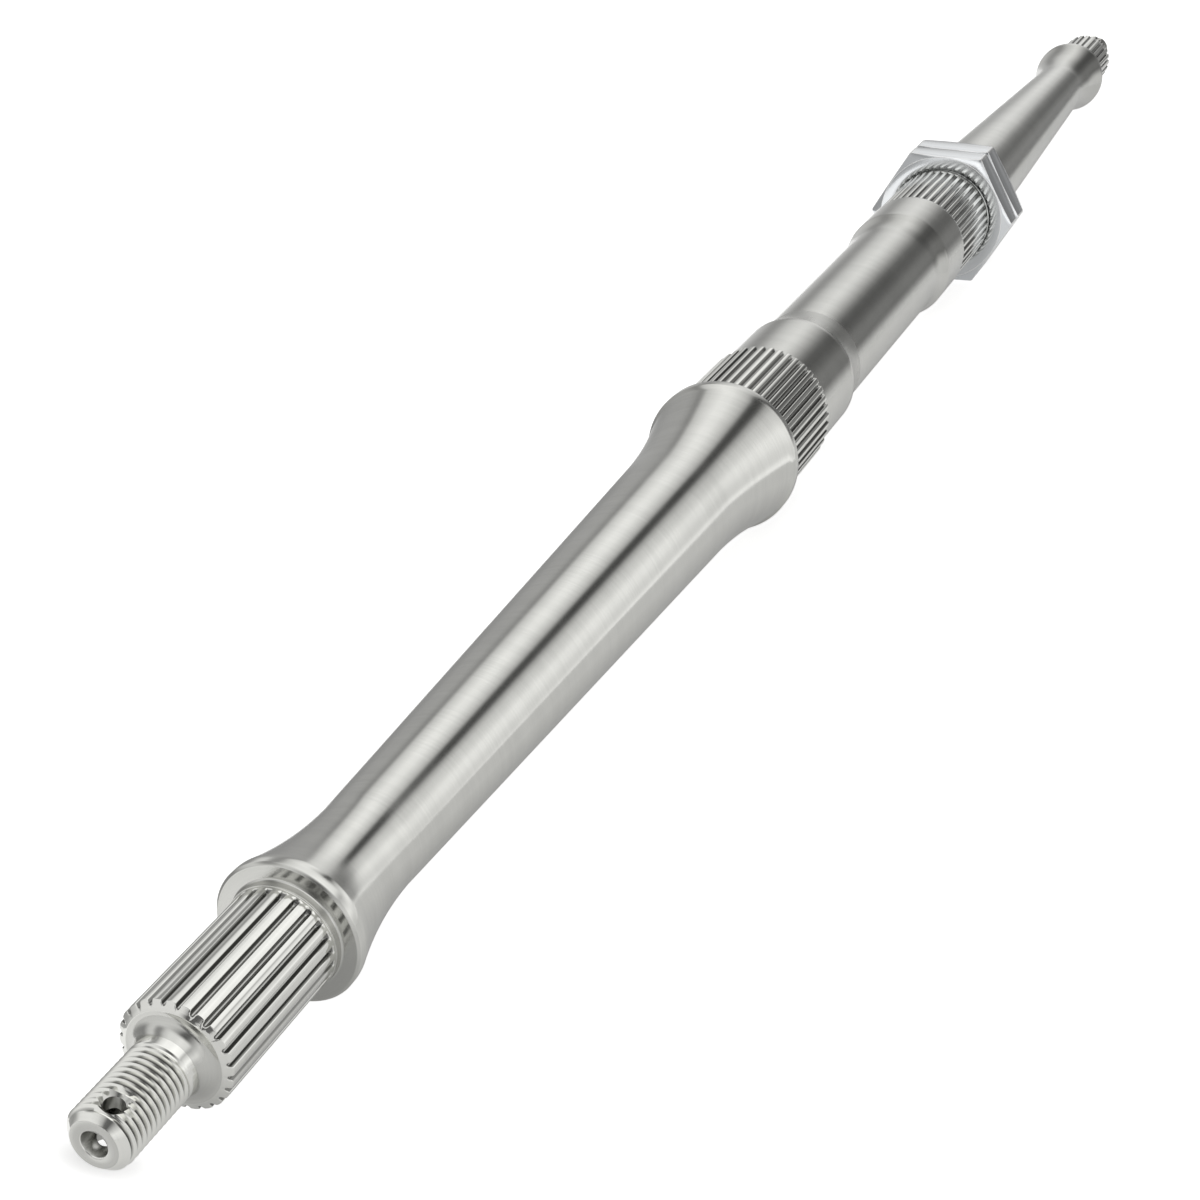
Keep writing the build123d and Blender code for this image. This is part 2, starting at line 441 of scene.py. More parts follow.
def arc(start, tangent, end, steps):
    """Points on the circle arc that leaves start along tangent and ends at end."""
    along = np.array(tangent, float) / hypot(*tangent)
    side = np.array([-along[1], along[0]])
    reach = np.array(end, float) - start
    radius = reach @ reach / (2 * reach @ side)
    centre = start + side * radius
    sweep = 2 * np.arctan2(reach @ side, reach @ along)
    turn = np.linspace(0, sweep, steps + 1)[:, None]
    return (centre - side * radius * np.cos(turn) + along * radius * np.sin(turn)).tolist()


def rounded(corner, before, after, size, steps=2):
    """A small round at a corner of a profile: a curve pulled to the corner, from size before it to size after it."""
    corner = np.array(corner, float)
    start = corner + size * (np.array(before) - corner) / hypot(*(np.array(before) - corner))
    end = corner + size * (np.array(after) - corner) / hypot(*(np.array(after) - corner))
    u = np.linspace(0, 1, steps + 1)[:, None]
    return ((1 - u) ** 2 * start + 2 * u * (1 - u) * corner + u**2 * end).tolist()


def eased(points, size=EDGE):
    """A profile whose inner corners are each given a small round."""
    out = [list(points[0])]
    for before, corner, after in zip(points, points[1:], points[2:]):
        out += rounded(corner, before, after, size)
    return out + [list(points[-1])]


def bell(distance):
    """Radius of the collar's flare, an arc that meets the neck level."""
    run, rise = NECK - COLLAR_RIM_END, COLLAR_RADIUS - NECK_RADIUS
    bend = (run * run + rise * rise) / (2 * rise)
    return NECK_RADIUS + bend - np.sqrt(bend * bend - (NECK - np.asarray(distance, float)) ** 2)


def thread(skin, start, end, radius, blank, columns, steps, settings, fade):
    """A right-hand thread: radius less a flat-crested V of the pitch, along a grid sheared to its helix, kept inside
    the blank's own profile, and run out over the last fade of a turn. Steps are the grid's rows in one pitch."""
    pitch, depth = settings.thread_pitch / MM, settings.thread_depth / MM
    level = np.arange(int((end - start) / pitch * steps) - steps + 1)[:, None]
    turns = (len(level) - 1) // steps
    column = np.arange(columns)
    place = start + pitch * (level / steps + column / columns)
    across = np.abs((level / steps) % 1.0 - 0.5)
    cut = 1 - np.clip((across - ROOT_FLAT) / (CREST_START - ROOT_FLAT), 0, 1)
    wound = level // steps + column / columns
    left = np.clip((turns - wound) / fade, 0, 1)
    grooved = radius - depth * cut * left
    limit = np.interp(place, *np.array(blank).T)
    skin.sleeve(place, np.minimum(grooved, limit), pi + column * 2 * pi / columns, shift=steps)


def stud_mesh(name, hole_angle, settings):
    """The near stud as a closed solid: centre hole, chamfered tip, thread, root fillet and a flat base."""
    chamfer = STUD_RADIUS - TIP_RADIUS
    skin = Skin()
    hole = [
        (CENTRE_HOLE_DEPTH, CENTRE_HOLE_RADIUS),
        (EDGE, CENTRE_HOLE_RADIUS),
        (0, CENTRE_HOLE_RADIUS + EDGE),
    ]
    tip = rounded((0, TIP_RADIUS), (0, 0), (chamfer, STUD_RADIUS), EDGE)
    opening = skin.turned(hole + tip, STUD_COLUMNS, 0.5)
    skin.pole(CENTRE_HOLE_DEPTH + CENTRE_HOLE_POINT, opening[0][::-1])
    blank = [(0, TIP_RADIUS), *rounded((chamfer, STUD_RADIUS), (0, TIP_RADIUS), (STUD_LENGTH, STUD_RADIUS), EDGE)]
    blank.append((STUD_LENGTH, STUD_RADIUS))
    fillet_start = STUD_LENGTH - STUD_ROOT_FILLET
    grid = STUD_COLUMNS, STUD_THREAD_ROWS, settings, STUD_THREAD_FADE
    thread(skin, STUD_THREAD_START, fillet_start - EDGE, STUD_RADIUS, blank, *grid)
    fillet = arc((fillet_start, STUD_RADIUS), (1, 0), (STUD_LENGTH, STUD_RADIUS + STUD_ROOT_FILLET), BLEND_STEPS)
    skin.turned(fillet, STUD_COLUMNS, 0.5)
    skin.pole(STUD_LENGTH, skin.edge[0])
    body = placed(name, skin.mesh(name))
    cutter = placed(name + "_cutter", cotter_cutter(hole_angle))
    cut = body.modifiers.new("cross hole", "BOOLEAN")
    cut.object, cut.operation, cut.solver = cutter, "DIFFERENCE", "EXACT"
    shaped = bpy.data.meshes.new_from_object(body.evaluated_get(bpy.context.evaluated_depsgraph_get()))
    bpy.data.objects.remove(cutter)
    bpy.data.objects.remove(body)
    return shaped


def placed(name, mesh, *materials):
    """A mesh as an object in the scene, with its materials."""
    for material in materials:
        mesh.materials.append(material)
    thing = bpy.data.objects.new(name, mesh)
    bpy.context.scene.collection.objects.link(thing)
    return thing


def cotter_cutter(hole_angle):
    """The cross hole's tool: a bar that flares at 90 degrees from the hole's radius to past the stud at both ends."""
    reach = STUD_RADIUS + COTTER_OVERRUN
    rim = STUD_RADIUS - (COTTER_SINK_RADIUS - COTTER_HOLE_RADIUS)
    along = np.array([-reach, -rim, rim, reach])[:, None]
    radius = COTTER_HOLE_RADIUS + np.abs(along) - rim
    angle = np.arange(COTTER_COLUMNS) * 2 * pi / COTTER_COLUMNS
    up = np.array([sin(hole_angle), 0, cos(hole_angle)])
    side = np.array([cos(hole_angle), 0, -sin(hole_angle)])
    ring = radius[..., None] * (side * np.cos(angle)[:, None] + np.array([0, 1, 0]) * np.sin(angle)[:, None])
    centre = np.array([0, COTTER_HOLE_INSET - HALF_LENGTH, 0])
    points = (ring + along[..., None] * up + centre).reshape(-1, 3) * MM
    index = np.arange(len(points)).reshape(-1, COTTER_COLUMNS)
    turned = np.roll(index, -1, axis=1)
    sides = np.stack([index[:-1], turned[:-1], turned[1:], index[1:]], -1).reshape(-1, 4)
    mesh = bpy.data.meshes.new("cross_hole_tool")
    mesh.from_pydata(points, [], sides.tolist() + [index[0][::-1].tolist(), index[-1].tolist()])
    return mesh


def tooth_columns(teeth, radius, width, floor, depth, first_angle, lip, crown):
    """Angles and drops below the crown round one spline: per tooth a rounded groove floor, two straight walls, two
    rounded lips and a crowned land, mirrored about the groove's middle. Half of it is a list of points, each with its
    distance from the groove's middle, measured round the spline, and its drop."""
    half, lean = width / 2, (width - floor) / 2
    land = pi * radius / teeth
    across, drop = np.array([
        (0.0, depth),
        (floor / 2 * 0.62, depth * 0.97),
        (floor / 2 + lean * FLOOR_ROUND * 0.45, depth - FLOOR_ROUND * 0.75),
        (half - lean * lip / depth, lip),
        (half + lip * 0.25, max(lip * 0.3, crown * 1.3)),
        (half + lip, crown),
        ((half + lip + land) / 2, crown / 4),
        (land, 0.0),
    ]).T
    angle = across / (radius - drop)
    angle = np.concatenate([angle[:-1], [pi / teeth], 2 * pi / teeth - angle[-2:0:-1]])
    drop = np.concatenate([drop, drop[-2:0:-1]])
    every = first_angle + np.arange(teeth)[:, None] * 2 * pi / teeth + angle
    return every.ravel(), np.tile(drop, teeth)


def spline(skin, columns, outline, radius, floor_line):
    """A toothed sleeve: at each distance the radius is the least of the blank's outline and the groove's section,
    and the section never goes below the line along which the cutter rises at its closed end."""
    angle, drop = columns
    distance, blank = np.array(outline).T[..., None]
    groove = np.maximum(radius - drop, np.interp(distance, *np.array(floor_line).T))
    skin.sleeve(distance, np.minimum(groove, blank), angle)


def cutter_rise(start, end, low, high, steps=6):
    """The line that a round cutter leaves as it lifts from low to high, a quarter of an ellipse."""
    u = np.linspace(0, 1, steps + 1)
    return np.stack([start + (end - start) * u, low + (high - low) * (1 - np.sqrt(1 - u**2))], -1).tolist()


def cutter_entry(start, runout, root, crown):
    """The same line where the cutter comes down into the metal, from the crown to the root over its run-out."""
    rise = cutter_rise(start, start + runout, root, crown)
    return [[2 * start + runout - distance, radius] for distance, radius in rise[::-1]]


def plain(start, end, radius, count):
    """Evenly spaced rows at one radius."""
    return [[distance, radius] for distance in np.linspace(start, end, count)]


def tapered(start, end, neck, count):
    """Evenly spaced rows along a taper, whose radius grows from the neck's by the same rise for each millimetre."""
    return [[place, NECK_RADIUS + TAPER_RISE * abs(place - neck)] for place in np.linspace(start, end, count)]


def entered_spline(skin, columns, radius, depth, start, runout, before, end, after):
    """A spline whose cutter comes down at its near end and leaves at the far one. Its outline has rows before the
    cutter's entry, plain rows up to an end, and rows after it."""
    entry = cutter_entry(start, runout, radius - depth, radius + HAIR)
    level = [[distance, radius] for distance, _ in entry] + plain(start + runout + 1, end, radius, 3)
    floor_line = [[0, radius + HAIR], *entry, [LENGTH, radius - depth]]
    spline(skin, columns, before + level + after, radius, floor_line)


def wheel_outline():
    """Distances and blank radii of a wheel spline, with a short lead and the rows of its run-out."""
    start = STUD_LENGTH
    root = WHEEL_RADIUS - WHEEL_DEPTH
    lead = WHEEL_RADIUS - WHEEL_FACE_RADIUS
    rows = rounded((start, WHEEL_FACE_RADIUS), (start, 0), (start + WHEEL_LEAD, WHEEL_RADIUS), STEP_ROUND, 1)
    for radius in (root, root + 0.3, root + 0.6, root + 0.9):
        rows.append([start + WHEEL_LEAD * (radius - WHEEL_FACE_RADIUS) / lead, radius])
    rows += rounded((start + WHEEL_LEAD, WHEEL_RADIUS), rows[-1], (SEAT_RING_START, WHEEL_RADIUS), 0.16)
    rise_start = WHEEL_GROOVE_END - WHEEL_RUNOUT
    rows += plain(start + 4, rise_start - 2, WHEEL_RADIUS, 3)
    rise = cutter_rise(rise_start, WHEEL_GROOVE_END, root, WHEEL_RADIUS + HAIR)
    rows += [[distance, WHEEL_RADIUS] for distance, _ in rise]
    return rows, [[0, root], *rise, [HALF_LENGTH, WHEEL_RADIUS + HAIR]]


def collar_profile():
    """Seat ring, collar face, rim and flare, up to the neck."""
    face_radius = COLLAR_RADIUS - COLLAR_CHAMFER
    step = [
        (SEAT_RING_START - 0.3, WHEEL_RADIUS),
        (SEAT_RING_START, WHEEL_RADIUS),
        (SEAT_RING_START, SEAT_RING_RADIUS),
        (SEAT_RING_START + 0.4, SEAT_RING_RADIUS),
    ]
    rows = eased(step, STEP_ROUND)
    fillet_start = (COLLAR_FACE - SEAT_FILLET, SEAT_RING_RADIUS)
    rows += arc(fillet_start, (1, 0), (COLLAR_FACE, SEAT_RING_RADIUS + SEAT_FILLET), FILLET_STEPS)
    rows += rounded((COLLAR_FACE, face_radius), (COLLAR_FACE, 0), (COLLAR_FACE + COLLAR_CHAMFER, COLLAR_RADIUS), 0.1)
    rim = (COLLAR_FACE + COLLAR_CHAMFER, COLLAR_RADIUS)
    rows += rounded(rim, (COLLAR_FACE, face_radius), (COLLAR_RIM_END, COLLAR_RADIUS), 0.12)
    flare = np.linspace(COLLAR_RIM_END + COLLAR_EDGE_ROUND, NECK, BELL_STEPS + 1)
    flare_start = (flare[0], float(bell(flare[0])))
    rows += rounded((COLLAR_RIM_END, COLLAR_RADIUS), rim, flare_start, COLLAR_EDGE_ROUND, 6)
    rows += [[distance, radius] for distance, radius in zip(flare[1:], bell(flare[1:]))]
    return rows


def mirrored(rows):
    """The same rows at the far end, in order from the near tip. What follows a row's distance stays."""
    return [[LENGTH - distance, *rest] for distance, *rest in rows[::-1]]


def body_mesh(settings):
    """The shaft between the studs, open at both stud roots."""
    skin = Skin()
    round_columns = settings.columns
    root_ring = (STUD_LENGTH, STUD_RADIUS + STUD_ROOT_FILLET)
    skin.turned([root_ring], STUD_COLUMNS, 0.5)
    groove = WHEEL_GROOVE_WIDTH, WHEEL_GROOVE_FLOOR, WHEEL_DEPTH, radians(WHEEL_GROOVE_ANGLE)
    wheel_columns = tooth_columns(WHEEL_TEETH, WHEEL_RADIUS, *groove, WHEEL_LIP, WHEEL_CROWN)
    outline, rise = wheel_outline()
    spline(skin, wheel_columns, outline, WHEEL_RADIUS, rise)
    skin.turned(collar_profile(), round_columns)

    flare_radius = NECK_RADIUS + TAPER_RISE * (FLARE_START - NECK)
    flange_radius = FLANGE_EDGE_RADIUS + FLANGE_BEVEL
    rows = tapered(NECK + ROW_GAP, FLARE_START - ROW_GAP, NECK, NEAR_TAPER_ROWS)
    flare = arc((FLARE_START, flare_radius), (1, TAPER_RISE), (FLANGE_EDGE, FLANGE_EDGE_RADIUS), FLARE_STEPS)
    rows += flare[:-1]
    rows += eased([
        flare[-1],
        (FLANGE_EDGE + FLANGE_BEVEL, flange_radius),
        (FLANGE_BACK, flange_radius),
        (FLANGE_BACK, HUB_RADIUS + 0.3),
    ])
    rows.append([FLANGE_BACK, HUB_RADIUS + 2 * SLACK])
    skin.turned(rows, round_columns)

    groove = HUB_GROOVE_WIDTH, HUB_GROOVE_FLOOR, HUB_DEPTH, 0.0
    columns = tooth_columns(HUB_TEETH, HUB_RADIUS, *groove, HUB_LIP, HUB_CROWN)
    start, end = FLANGE_BACK + HUB_SETBACK, HUB_END - HUB_END_ROUND
    before = [[FLANGE_BACK + 2 * SLACK, HUB_RADIUS]]
    after = arc((end, HUB_RADIUS), (1, 0), (HUB_END, HUB_RADIUS - HUB_END_ROUND), 5)
    after.append([HUB_END, SEAT_RADIUS + 0.02])
    entered_spline(skin, columns, HUB_RADIUS, HUB_DEPTH, start, HUB_RUNOUT, before, end - 1, after)

    waist_start, waist_end = NEAR_SEAT_END + WAIST_BLEND, FAR_SEAT_START - WAIST_BLEND
    rows = [[HUB_END + SLACK, SEAT_RADIUS]]
    rows += plain(HUB_END + ROW_GAP, NEAR_SEAT_END - ROW_GAP, SEAT_RADIUS, 3)
    rows += arc((waist_start, WAIST_RADIUS), (-1, 0), (NEAR_SEAT_END, SEAT_RADIUS), BLEND_STEPS)[::-1]
    rows += plain(waist_start + ROW_GAP, waist_end - ROW_GAP, WAIST_RADIUS, 6)
    rows += arc((waist_end, WAIST_RADIUS), (1, 0), (FAR_SEAT_START, SEAT_RADIUS), BLEND_STEPS)
    rows += plain(FAR_SEAT_START + 1, FAR_SEAT_END - 1, SEAT_RADIUS, 3)
    rows += rounded((FAR_SEAT_END, SEAT_RADIUS), (FAR_SEAT_START, SEAT_RADIUS), (FAR_SEAT_END, 0), STEP_ROUND)
    skin.turned(rows, round_columns)

    groove = DISC_GROOVE_WIDTH, DISC_GROOVE_FLOOR, DISC_DEPTH, 0.0
    columns = tooth_columns(DISC_TEETH, DISC_RADIUS, *groove, DISC_LIP, DISC_CROWN)
    after = rounded((DISC_END, DISC_RADIUS), (FAR_SEAT_END, DISC_RADIUS), (DISC_END, 0), 0.2)
    after.append([DISC_END, RELIEF_RADIUS + 2 * SLACK])
    entered_spline(skin, columns, DISC_RADIUS, DISC_DEPTH, FAR_SEAT_END, DISC_RUNOUT, [], DISC_END - 1, after)

    relief = [(DISC_END + 2 * SLACK, RELIEF_RADIUS), (THREAD_START, RELIEF_RADIUS)]
    skin.turned(relief, NUT_THREAD_COLUMNS, 0.5)
    inner = THREAD_RADIUS - THREAD_CHAMFER
    blank = [
        (THREAD_START, inner),
        (THREAD_START + THREAD_CHAMFER, THREAD_RADIUS),
        (THREAD_END - THREAD_CHAMFER, THREAD_RADIUS),
        (THREAD_END, inner),
    ]
    grid = NUT_THREAD_COLUMNS, NUT_THREAD_ROWS, settings, NUT_THREAD_FADE
    thread(skin, THREAD_START + SLACK, THREAD_END - SLACK, THREAD_RADIUS, blank, *grid)
    skin.turned([(THREAD_END, inner)], NUT_THREAD_COLUMNS, 0.5)

    far_neck = LENGTH - NECK
    taper_radius = NECK_RADIUS + TAPER_RISE * (far_neck - THREAD_END)
    rows = arc((THREAD_END, taper_radius + 0.5), (0, -1), (THREAD_END + 0.5, taper_radius), 3)
    rows += tapered(THREAD_END + ROW_GAP, far_neck - ROW_GAP, far_neck, FAR_TAPER_ROWS)
    skin.turned(rows + mirrored(collar_profile()), round_columns)
    outline, rise = wheel_outline()
    spline(skin, wheel_columns, mirrored(outline), WHEEL_RADIUS, mirrored(rise))
    skin.turned(mirrored([root_ring]), STUD_COLUMNS, 0.5)
    return skin.mesh("shaft_body")


def read(items, key, width=1, kind=np.float32):
    """One value of each of a mesh's items as an array, with a row for each item where the value is a vector."""
    values = np.zeros(len(items) * width, kind)
    items.foreach_get(key, values)
    return values.reshape(-1, width) if width > 1 else values


def middles(mesh):
    """The x, y and z of the middle of each face, in millimetres."""
    return read(mesh.polygons, "center", 3).T / MM


def joined(parts, name):
    """Parts welded where their rims meet, with the studs' hidden base caps taken out. Rim points of one end share a
    column number, the angle over the angle between two columns, and those of one number become one point."""
    points, corners, sizes, count = [], [], [], 0
    for part in parts:
        points.append(read(part.vertices, "co", 3) / MM)
        corners.append(read(part.loops, "vertex_index", 1, np.int32) + count)
        sizes.append(read(part.polygons, "loop_total", 1, np.int32))
        count += len(part.vertices)
    points, corner, size = np.concatenate(points), np.concatenate(corners), np.concatenate(sizes)
    radius = np.hypot(points[:, 0], points[:, 2])
    rim = STUD_RADIUS + STUD_ROOT_FILLET
    at_base = (np.abs(np.abs(points[:, 1]) - HALF_LENGTH + STUD_LENGTH) < WELD) & (radius < rim + WELD)
    face = np.repeat(np.arange(len(size)), size)
    kept = np.bincount(face, at_base[corner], len(size)) < size
    corner, size = corner[kept[face]], size[kept]
    on_rim = np.flatnonzero(at_base & (radius > rim - WELD))
    x, y, z = points[on_rim].T
    number = np.sign(y) * (np.rint(np.arctan2(x, z) / pi * STUD_COLUMNS) + 2 * STUD_COLUMNS)
    _, first, group = np.unique(number, return_index=True, return_inverse=True)
    same = np.arange(count)
    same[on_rim] = on_rim[first][group]
    used, corner = np.unique(same[corner], return_inverse=True)
    mesh = bpy.data.meshes.new(name)
    mesh.vertices.add(len(used))
    mesh.vertices.foreach_set("co", (points[used] * MM).astype(np.float32).ravel())
    mesh.loops.add(len(corner))
    mesh.loops.foreach_set("vertex_index", corner.astype(np.int32))
    mesh.polygons.add(len(size))
    mesh.polygons.foreach_set("loop_start", (np.cumsum(size) - size).astype(np.int32))
    mesh.update(calc_edges=True)
    return mesh


def finished(name, mesh, body, nodes, slot, *materials):
    """A smooth object with sharp creases, riding its body and standing for its CAD nodes."""
    mesh.polygons.foreach_set("use_smooth", np.ones(len(mesh.polygons), bool))
    mesh.set_sharp_from_angle(angle=radians(CREASE_ANGLE))
    piece = placed(name, mesh, *materials)
    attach(piece, body)
    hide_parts(*nodes)
    return piece


def nut_mesh(name, near_face, far_face, across_flats):
    """A hex nut as one closed ring of rows: bore, near face, chamfer cone cut by the hexagon, flats, and back. The
    hexagon's radius is half the size across flats over the cosine of the angle from the nearest flat's middle."""
    side = np.radians(NUT_SIDE_ANGLES)
    angle = (side + np.arange(6)[:, None] * pi / 3).ravel()
    hexagon = np.minimum(across_flats / 2 / np.cos(np.tile(side, 6)), NUT_CORNER_RADIUS)
    slope = tan(radians(NUT_CHAMFER_ANGLE))
    bevel = (hexagon - NUT_FACE_RADIUS) * slope
    lip = NUT_BORE_RADIUS + NUT_BORE_CHAMFER
    half = [
        (NUT_BORE_CHAMFER, NUT_BORE_RADIUS),
        (STEP_ROUND, lip - SLACK),
        (0.0, lip + STEP_ROUND),
        (0.0, NUT_FACE_MIDDLE),
        (0.0, NUT_FACE_RADIUS - NUT_RING_HALF),
        (NUT_RING_HALF * slope, NUT_FACE_RADIUS + NUT_RING_HALF),
        ((bevel - 0.1 * slope) / 2, (NUT_FACE_RADIUS + hexagon - 0.1) / 2),
        (bevel - NUT_BEVEL * slope, hexagon - NUT_BEVEL),
        (bevel + 0.01, hexagon - 0.07),
        (bevel + 0.24, hexagon),
    ]
    depth, radius = (np.stack(np.broadcast_arrays(*column, angle)[:-1]) for column in zip(*half))
    distance = np.concatenate([near_face + depth, far_face - depth[::-1]])
    skin = Skin()
    index = skin.sleeve(distance, np.concatenate([radius, radius[::-1]]), angle)
    turned = np.roll(index, -1, axis=1)
    skin.quads.append(np.stack([index[-1], turned[-1], turned[0], index[0]], -1))
    skin.triangles.append(np.zeros((0, 3), int))
    return skin.mesh(name)


def nut_edges(mesh):
    """Which faces of a nut take the painted highlight along its edges: the bevels between faces, which turn neither
    along the axis nor square to it, the narrow corners, and the ring where the face meets the chamfer."""
    x, _, z = middles(mesh)
    radius = np.hypot(x, z)
    along = np.abs(read(mesh.polygons, "normal", 3)[:, 1])
    bevels = (radius > NUT_FACE_RADIUS + 0.15) & (along > 0.1) & (along < 0.9)
    return bevels | (radius > NUT_CORNER_RADIUS - 0.15) | (np.abs(radius - NUT_FACE_RADIUS) < 0.1)


def both_ends(*spans):
    """Spans of distance at the near end, and the same ones at the far end."""
    return [*spans, *[(LENGTH - high, LENGTH - low) for low, high in spans]]


def region(mesh, slot, *spans, within=HALF_LENGTH, only=True):
    """Gives a material slot to the faces whose middles lie in spans of distance from the near tip, within a radius,
    and only where a mark is set."""
    x, y, z = middles(mesh)
    distance, radius = y + HALF_LENGTH, np.hypot(x, z)
    index = read(mesh.polygons, "material_index", 1, np.int32)
    for low, high in spans:
        index[(distance > low) & (distance < high) & (radius < within) & only] = slot
    mesh.polygons.foreach_set("material_index", index)


def cross_hole_faces(mesh, hole_angle):
    """Marks the faces of a cross hole's bore and of its countersink, and leaves 0 elsewhere. On both, the distance
    from a face's middle to the hole's axis is the tool's radius, which grows by 1 for 1 beyond the bore."""
    x, y, z = middles(mesh)
    from_end = HALF_LENGTH - np.abs(y) - COTTER_HOLE_INSET
    beyond = np.abs(x * sin(hole_angle) + z * cos(hole_angle)) - STUD_RADIUS + COTTER_SINK_RADIUS - COTTER_HOLE_RADIUS
    out = np.hypot(from_end, x * cos(hole_angle) - z * sin(hole_angle))
    on_tool = np.abs(out - COTTER_HOLE_RADIUS - np.maximum(beyond, 0)) < COTTER_TOLERANCE
    return np.where(on_tool, np.where(beyond > 0, COTTER_SINK, COTTER_BORE), 0)


def crease_between(mesh, kind):
    """Makes each edge sharp where the faces on its two sides differ in kind."""
    edge = read(mesh.loops, "edge_index", 1, np.int32)
    kind = np.repeat(kind, read(mesh.polygons, "loop_total", 1, np.int32))
    low, high = np.full(len(mesh.edges), kind.max()), np.zeros(len(mesh.edges), int)
    np.minimum.at(low, edge, kind)
    np.maximum.at(high, edge, kind)
    mesh.edges.foreach_set("use_edge_sharp", read(mesh.edges, "use_edge_sharp", 1, bool) | (low < high))


def mark_recess(mesh, outline, hole_angle):
    """Stores how far each point lies below the shaft's outline, from 0 on it to 1 at the depth that the outline names
    there. The holes and their countersinks count as 0: they lie within a radius of the hole's axis."""
    x, y, z = read(mesh.vertices, "co", 3).T / MM
    place, out = y + HALF_LENGTH, np.hypot(x, z)
    distance, radius, depth = np.array(outline).T
    value = np.clip((np.interp(place, distance, radius) - out) / np.interp(place, distance, depth), 0, 1)
    from_end = np.minimum(place, LENGTH - place) - COTTER_HOLE_INSET
    across = x * cos(hole_angle) - z * sin(hole_angle)
    value[np.hypot(from_end, across) < COTTER_SINK_RADIUS + EDGE] = 0
    value[out < CENTRE_HOLE_RADIUS + EDGE] = 0
    recess = mesh.attributes.new("recess", "FLOAT", "POINT")
    recess.data.foreach_set("value", value.astype(np.float32))


class Nodes:
    """Short ways to place and link nodes in one tree."""

    def __init__(self, tree):
        self.tree = tree

    def add(self, kind, **values):
        node = self.tree.nodes.new(kind)
        for name, value in values.items():
            setattr(node, name, value)
        return node

    def feed(self, socket, value):
        if isinstance(value, bpy.types.NodeSocket):
            self.tree.links.new(value, socket)
        else:
            socket.default_value = value

    def wired(self, kind, *values, **settings):
        """The outputs of a new node whose first inputs are fed in order."""
        node = self.add(kind, **settings)
        for socket, value in zip(node.inputs, values):
            self.feed(socket, value)
        return node.outputs

    def math(self, operation, *values):
        return self.wired("ShaderNodeMath", *values, operation=operation)[0]

    def vector(self, operation, *values):
        out = self.wired("ShaderNodeVectorMath", *values, operation=operation)
        return out["Value" if operation == "LENGTH" else "Vector"]

    def spread(self, value, low, high, to_low, to_high, shape="SMOOTHSTEP"):
        return self.wired("ShaderNodeMapRange", value, low, high, to_low, to_high, interpolation_type=shape)[0]

    def place(self):
        """Where a point lies, in metres, in its piece's own frame."""
        return self.add("ShaderNodeTexCoord").outputs["Object"]

    def split(self, vector):
        return self.wired("ShaderNodeSeparateXYZ", vector)

    def noise(self, vector, scale, detail, roughness):
        node = self.add("ShaderNodeTexNoise")
        for name, value in (("Vector", vector), ("Scale", scale), ("Detail", detail), ("Roughness", roughness)):
            self.feed(node.inputs[name], value)
        return node.outputs["Fac"]

    def mix(self, factor, first, second, blend="MIX"):
        node = self.add("ShaderNodeMix", data_type="RGBA", blend_type=blend)
        for socket, value in ((node.inputs[0], factor), (node.inputs[6], first), (node.inputs[7], second)):
            self.feed(socket, value)
        return node.outputs[2]

    def ramp(self, factor, stops):
        node = self.add("ShaderNodeValToRGB")
        self.feed(node.inputs[0], factor)
        elements = node.color_ramp.elements
        elements[0].position, elements[1].position = stops[0][0], stops[-1][0]
        elements[0].color, elements[1].color = (*stops[0][1], 1), (*stops[-1][1], 1)
        for position, colour in stops[1:-1]:
            elements.new(position).color = (*colour, 1)
        return node.outputs[0]

    def surface(self, shader):
        """Takes out the shader that a new material starts with, and shows this one."""
        self.tree.nodes.remove(self.tree.nodes["Principled BSDF"])
        self.feed(self.tree.nodes["Material Output"].inputs["Surface"], shader)


def new_material(name):
    """A material, and the ways to place nodes in it."""
    material = bpy.data.materials.new(name)
    material.use_nodes = True
    return material, Nodes(material.node_tree)


def tooling_group():
    """Marks of the lathe: rings a fraction of a millimetre apart, even round the axis, as a height and as a mask."""
    group = bpy.data.node_groups.new("tooling_marks", "ShaderNodeTree")
    for name, way in (("Spacing", "INPUT"), ("Height", "OUTPUT"), ("Mottle", "OUTPUT")):
        group.interface.new_socket(name, in_out=way, socket_type="NodeSocketFloat")
    n = Nodes(group)
    start, end = n.add("NodeGroupInput"), n.add("NodeGroupOutput")
    place = n.place()
    x, y, z = n.split(place)
    out = n.vector("LENGTH", n.wired("ShaderNodeCombineXYZ", x, z)[0])
    along = n.math("DIVIDE", n.math("ADD", y, out), start.outputs["Spacing"])
    across = [n.math("MULTIPLY", part, RING_CHANGE) for part in (x, z)]
    ring = n.wired("ShaderNodeCombineXYZ", *across, along)[0]
    fine = n.noise(ring, *FINE_NOISE)
    broad = n.noise(n.vector("MULTIPLY", ring, BROAD_RINGS), *BROAD_NOISE)
    n.feed(end.inputs["Height"], n.math("ADD", fine, n.math("MULTIPLY", broad, BROAD_SHARE)))
    n.feed(end.inputs["Mottle"], n.noise(place, *MOTTLE_NOISE))
    return group


